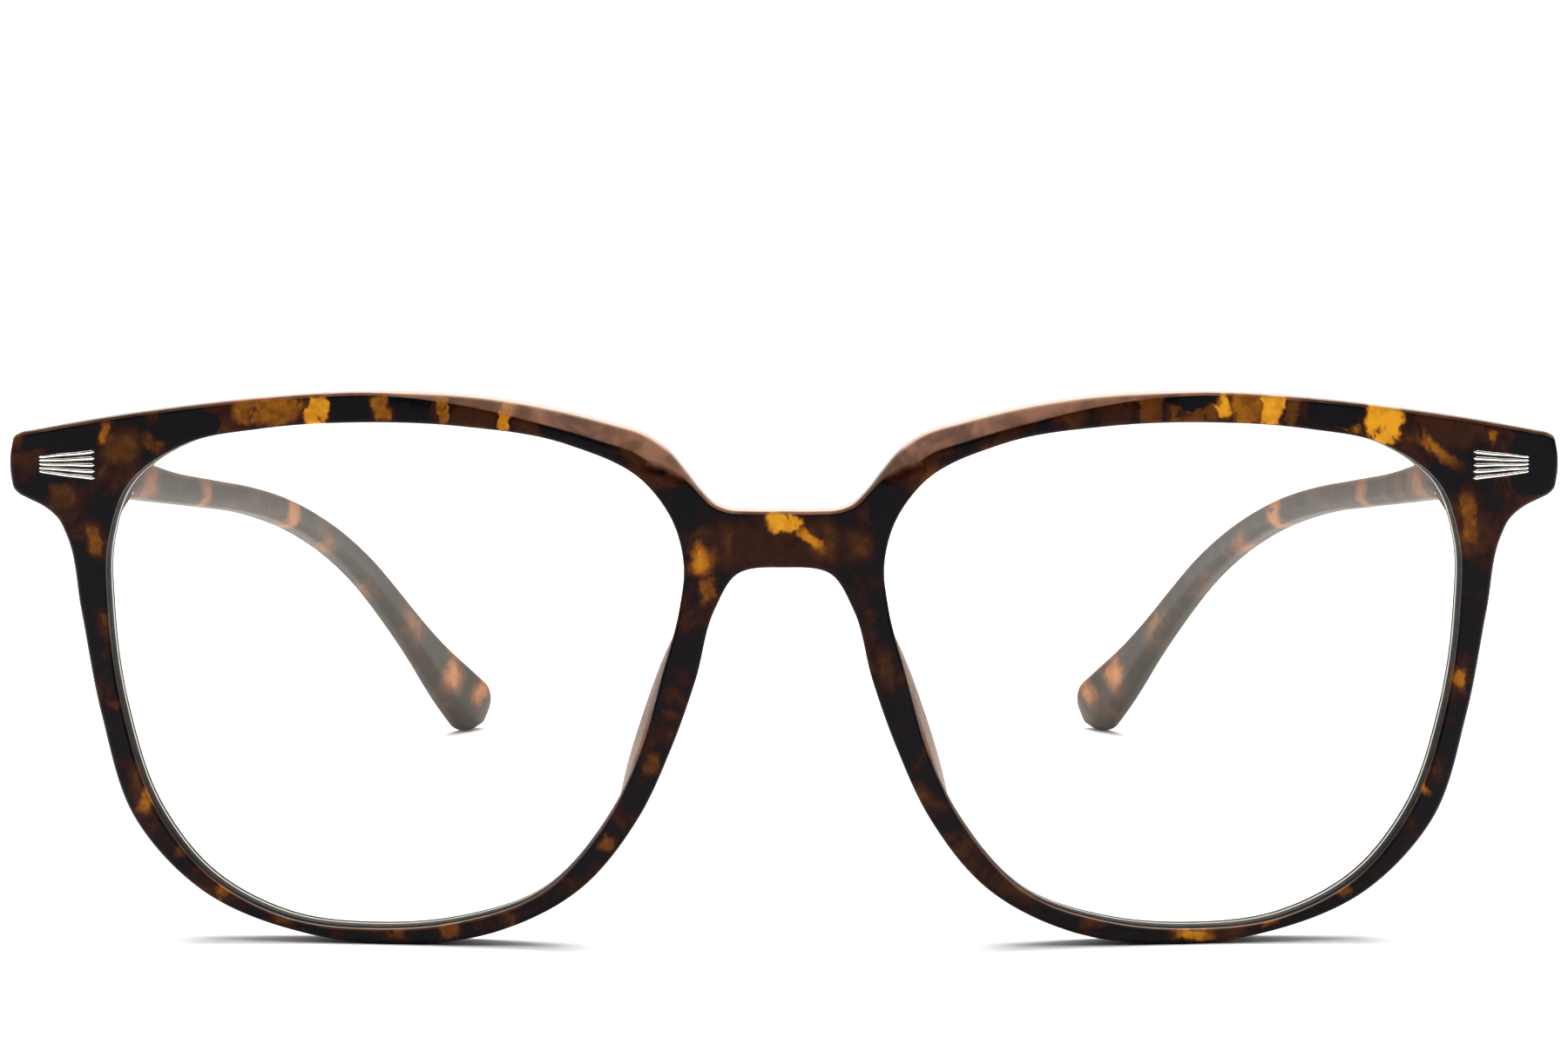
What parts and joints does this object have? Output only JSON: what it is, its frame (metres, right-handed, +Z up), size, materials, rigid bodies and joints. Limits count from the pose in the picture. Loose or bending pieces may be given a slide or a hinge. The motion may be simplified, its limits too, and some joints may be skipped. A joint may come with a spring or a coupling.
{
  "type": "spectacles",
  "caption": "Rounded-square tortoiseshell plastic spectacles with clear lenses, nose pads, riveted hinges and folding wire-cored temples with drop tips.",
  "frame": {"origin": "middle of the box that holds the open glasses, on the table that they stand on", "axes": "+X to the wearer's left, +Y from the front back to the temple tips, +Z up"},
  "size_m": [0.1456, 0.1394, 0.0517],
  "materials": {
    "front_acetate": "polished tortoiseshell acetate",
    "temple_acetate": "satin tortoiseshell acetate",
    "pad_acetate": "satin tortoiseshell acetate",
    "lens": "clear coated lens",
    "plaque": "polished nickel silver",
    "rivet": "satin",
    "hinge": "satin",
    "screw": "turned",
    "core_wire": "drawn wire"
  },
  "bodies": {
    "front": {"front_frame": "front_acetate", "lens_left": "lens", "lens_right": "lens", "nose_pad_left": "pad_acetate", "nose_pad_right": "pad_acetate", "fan_plaque_left": "plaque", "fan_plaque_right": "plaque", "front_rivets_left": "rivet", "front_rivets_right": "rivet", "front_hinge_left": "hinge", "front_hinge_right": "hinge", "hinge_screw_left": "screw", "hinge_screw_right": "screw"},
    "left_temple": {"temple_left": "temple_acetate", "temple_hinge_left": "hinge", "temple_rivets_left": "rivet", "core_wire_left": "core_wire"},
    "right_temple": {"temple_right": "temple_acetate", "temple_hinge_right": "hinge", "temple_rivets_right": "rivet", "core_wire_right": "core_wire"}
  },
  "joints": [
    {"name": "left_fold", "type": "hinge", "parent": "front", "child": "left_temple", "pos_m": [0.0636, -0.05772, 0.044], "axis": [0, 0, 1], "range_deg": [0, 81]},
    {"name": "right_fold", "type": "hinge", "parent": "front", "child": "right_temple", "pos_m": [-0.0636, -0.05772, 0.044], "axis": [0, 0, -1], "range_deg": [0, 75]}
  ]
}
